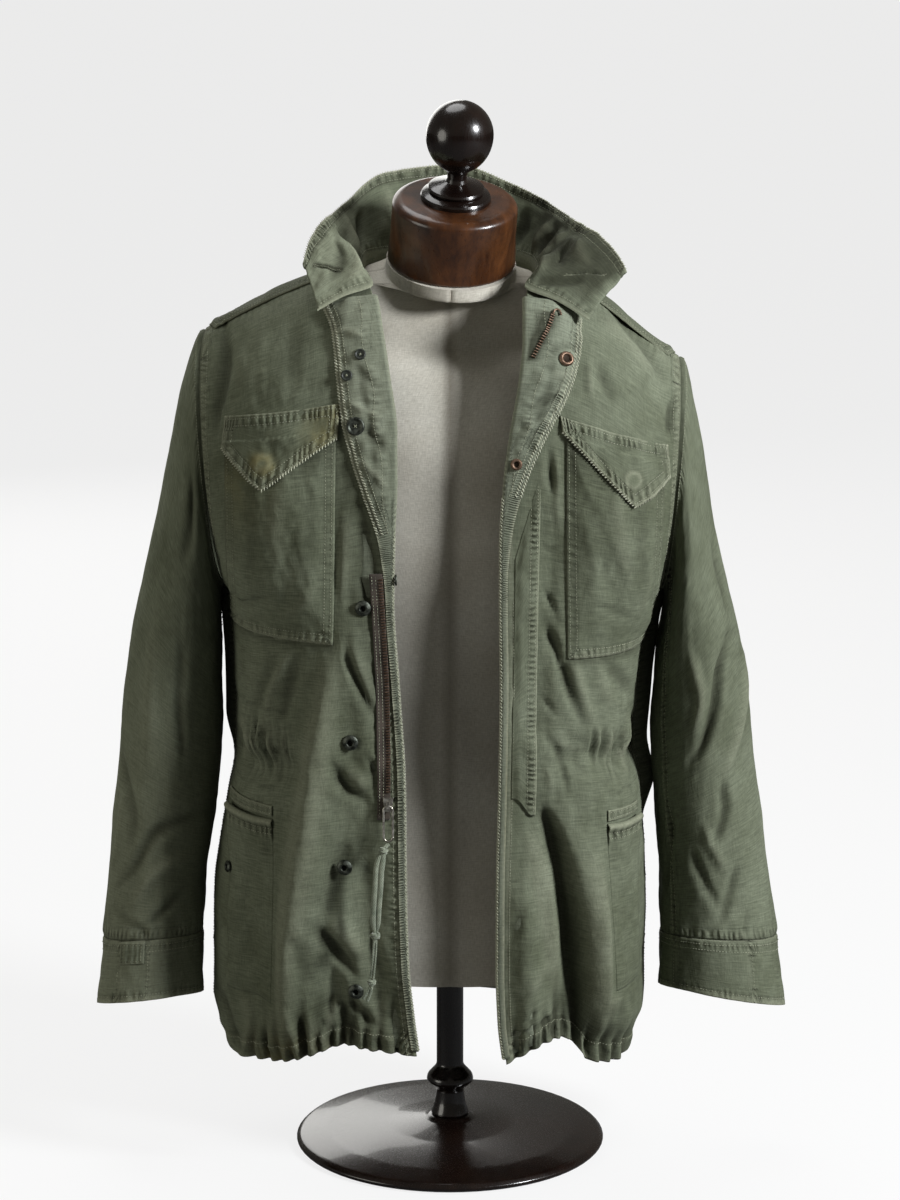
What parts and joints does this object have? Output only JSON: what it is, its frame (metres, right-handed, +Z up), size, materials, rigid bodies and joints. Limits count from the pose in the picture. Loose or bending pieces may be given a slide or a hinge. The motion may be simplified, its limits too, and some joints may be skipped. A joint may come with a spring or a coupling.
{
  "type": "field jacket on a dress form",
  "caption": "Olive cotton field jacket worn open with its collar up and flapped chest pockets, on a limbless linen dress form with a turned wood stand.",
  "frame": {"origin": "centre of the stand's underside", "axes": "+Z up, -Y out of the jacket's front, +X toward the wearer's left"},
  "size_m": [0.661, 0.3191, 1.0177],
  "materials": {
    "cotton": "washed olive cotton, matt",
    "facing": "olive cotton facing, matt",
    "tape": "brown zip tape",
    "linen": "undyed linen cover",
    "burl": "brown burl, varnished",
    "ebony": "turned dark wood, polished",
    "copper": "dull reddish brass",
    "gunmetal": "dark plated steel",
    "steel": "worn steel",
    "button": "dark green plastic",
    "cord": "grey green braid"
  },
  "bodies": {
    "root": {"back": "cotton", "front_right": "cotton", "front_left": "cotton", "sleeve_right": "cotton", "sleeve_left": "cotton", "cuff_right": "cotton", "cuff_left": "cotton", "collar": "cotton", "facing_right": "facing", "facing_left": "facing", "chest_pocket_right": "cotton", "chest_pocket_left": "cotton", "chest_flap_right": "cotton", "chest_flap_left": "cotton", "hip_band_right": "cotton", "hip_band_left": "cotton", "hip_pocket_right": "cotton", "hip_pocket_left": "cotton", "epaulette_right": "cotton", "epaulette_left": "cotton", "fly_placket_left": "cotton", "cuff_tab_right": "cotton", "stud_1": "gunmetal", "stud_2": "gunmetal", "stud_3": "gunmetal", "stud_4": "gunmetal", "stud_5": "gunmetal", "snap_ring_1": "copper", "snap_ring_2": "copper", "liner_button_1": "button", "liner_button_2": "button", "liner_button_3": "gunmetal", "liner_button_4": "gunmetal", "zip_tape_right": "tape", "zip_chain_right": "copper", "zip_chain_left": "copper", "zip_slider": "steel", "form_torso": "linen", "neck_cap": "burl", "finial": "ebony", "stand_base": "ebony", "stand_pole": "ebony"},
    "pull": {"zip_pull": "steel", "pull_cord": "cord", "cord_knot_top": "cord", "cord_knot_middle": "cord", "cord_knot_end": "cord"}
  },
  "joints": [
    {"name": "pull_swing", "type": "hinge", "parent": "root", "child": "pull", "pos_m": [-0.05691, -0.15705, 0.3809], "axis": [-1, 0, 0], "range_deg": [0, 150]}
  ]
}
